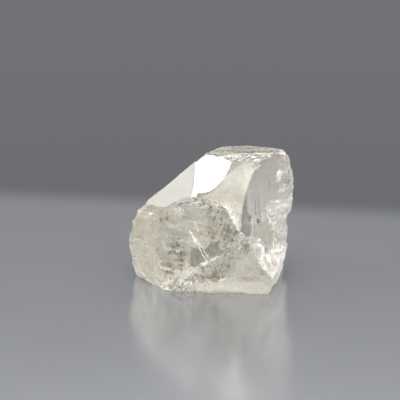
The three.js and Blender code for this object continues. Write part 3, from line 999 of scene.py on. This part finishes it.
class StageLook(bpy.types.PropertyGroup):
    """Size, colour and gloss of the floor, and power of the lights"""

    floor_reach: FloatProperty(
        name="Floor reach",
        description="Distance from the middle of the board to its edges",
        default=0.063,
        unit="LENGTH",
        subtype="DISTANCE",
    )
    floor_colour: FloatVectorProperty(
        name="Floor colour",
        description="Colour of the board",
        default=(0.127, 0.128, 0.131),
        subtype="COLOR",
        size=3,
    )
    floor_roughness: FloatProperty(
        name="Floor roughness",
        description="How far the board smears what it mirrors",
        default=0.2,
        min=0.0,
        max=1.0,
    )
    floor_shine: FloatProperty(
        name="Floor shine",
        description="Refractive index of the board's coat, which sets how strongly it mirrors",
        default=4.4,
        min=1.0,
    )
    key_watts: FloatProperty(
        name="Key light",
        description="Power of the softbox on the left",
        default=0.13,
        unit="POWER",
    )
    fill_watts: FloatProperty(
        name="Fill light",
        description="Power of the softbox on the right",
        default=0.25,
        unit="POWER",
    )
    top_watts: FloatProperty(
        name="Top light",
        description="Power of the softbox overhead",
        default=0.5,
        unit="POWER",
    )


# ------------------------------------------------------------------------- operators
class CRYSTAL_OT_grow(bpy.types.Operator):
    """Grow the crystal's skin over its solid, with its edges, relief and frost"""

    bl_idname = "crystal.grow"
    bl_label = "Grow Crystal"

    def execute(self, context):
        look = context.scene.crystal_look
        points, triangles, finish = crystal_skin(look.cell / MM)
        points = inside_box(points * MM, np.array(CAD_BOX[0]), np.array(CAD_BOX[1]))
        crystal = mesh_object("crystal", points, triangles, crystal_material(look), finish)
        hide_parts(NODE)
        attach(crystal, "root")
        return {"FINISHED"}


class CRYSTAL_OT_stage(bpy.types.Operator):
    """Lay the floor, hang the soft lights and light the room round them"""

    bl_idname = "crystal.stage"
    bl_label = "Build Stage"

    def execute(self, context):
        stage = context.scene.stage_look
        half = stage.floor_reach * FLOOR_MARGIN
        corners = [(-half, -half, 0), (half, -half, 0), (half, half, 0), (-half, half, 0)]
        mesh = bpy.data.meshes.new("floor")
        mesh.from_pydata(corners, [], [(0, 1, 2, 3)])
        mesh.materials.append(floor_material(stage))
        floor = bpy.data.objects.new("floor", mesh)
        context.scene.collection.objects.link(floor)
        for name, (direction, distance, width) in SOFTBOXES.items():
            softbox(f"{name}_light", direction, distance, width, getattr(stage, f"{name}_watts"))
        room_light(context.scene)
        context.scene.view_settings.view_transform = "Standard"
        return {"FINISHED"}


def softbox(name, direction, distance, width, watts):
    """Square area light that faces the crystal's middle from a direction."""
    light = bpy.data.lights.new(name, "AREA")
    light.shape, light.size, light.energy = "SQUARE", width, watts
    lamp = bpy.data.objects.new(name, light)
    away = Vector(direction).normalized()
    lamp.location = CRYSTAL_MIDDLE + away * distance
    lamp.rotation_euler = away.to_track_quat("Z", "Y").to_euler()
    bpy.context.scene.collection.objects.link(lamp)


def room_light(scene):
    """Grey studio: even grey below the horizon and at eye level, brighter overhead."""
    n = Nodes(bpy.data.worlds.new("studio"))
    direction = n.add("TexCoord").outputs["Generated"]
    upward = n.add("SeparateXYZ", {"Vector": direction}).outputs["Z"]
    ramp = n.add("ValToRGB", {0: n.math("MULTIPLY_ADD", upward, 0.5, 0.5)})
    stops = ramp.color_ramp.elements
    stops.remove(stops[1])
    for k, (height, grey) in enumerate(ROOM_GREYS):
        stop = stops[0] if k == 0 else stops.new(height)
        stop.position = height
        stop.color = (*(grey * share for share in ROOM_TINT), 1)
    back = n.add("Background", {"Color": ramp.outputs[0]}).outputs[0]
    n.add("OutputWorld", {"Surface": back})
    scene.world = n.owner


class CRYSTAL_PT_panel(bpy.types.Panel):
    """Lists the crystal's and the stage's values and steps"""

    bl_idname = "CRYSTAL_PT_panel"
    bl_label = "Topaz Crystal"
    bl_space_type = "VIEW_3D"
    bl_region_type = "UI"
    bl_category = "Crystal"

    def draw(self, context):
        for group in (context.scene.crystal_look, context.scene.stage_look):
            for key in group.__annotations__:
                self.layout.prop(group, key)
        for step in STEPS:
            self.layout.operator(step.bl_idname)


def place_camera(scene):
    """Long lens, a little above the crystal and looking down on it."""
    data = bpy.data.cameras.new("camera")
    data.lens = 100
    data.sensor_width = 36
    data.clip_start = 0.001
    camera = bpy.data.objects.new("camera", data)
    away = Vector((0, -math.cos(CAMERA_DIP), math.sin(CAMERA_DIP)))
    camera.location = CAMERA_AIM + away * CAMERA_DISTANCE
    camera.rotation_euler = (math.pi / 2 - CAMERA_DIP, 0, 0)
    scene.collection.objects.link(camera)
    scene.camera = camera


STEPS = (CRYSTAL_OT_grow, CRYSTAL_OT_stage)
CLASSES = (CrystalLook, StageLook, *STEPS, CRYSTAL_PT_panel)


def register():
    for item in CLASSES:
        bpy.utils.register_class(item)
    bpy.types.Scene.crystal_look = PointerProperty(type=CrystalLook)
    bpy.types.Scene.stage_look = PointerProperty(type=StageLook)


def unregister():
    del bpy.types.Scene.stage_look
    del bpy.types.Scene.crystal_look
    for item in reversed(CLASSES):
        bpy.utils.unregister_class(item)


def main():
    register()
    place_camera(bpy.context.scene)
    bpy.ops.crystal.grow()
    bpy.ops.crystal.stage()


if __name__ == "__main__":
    main()
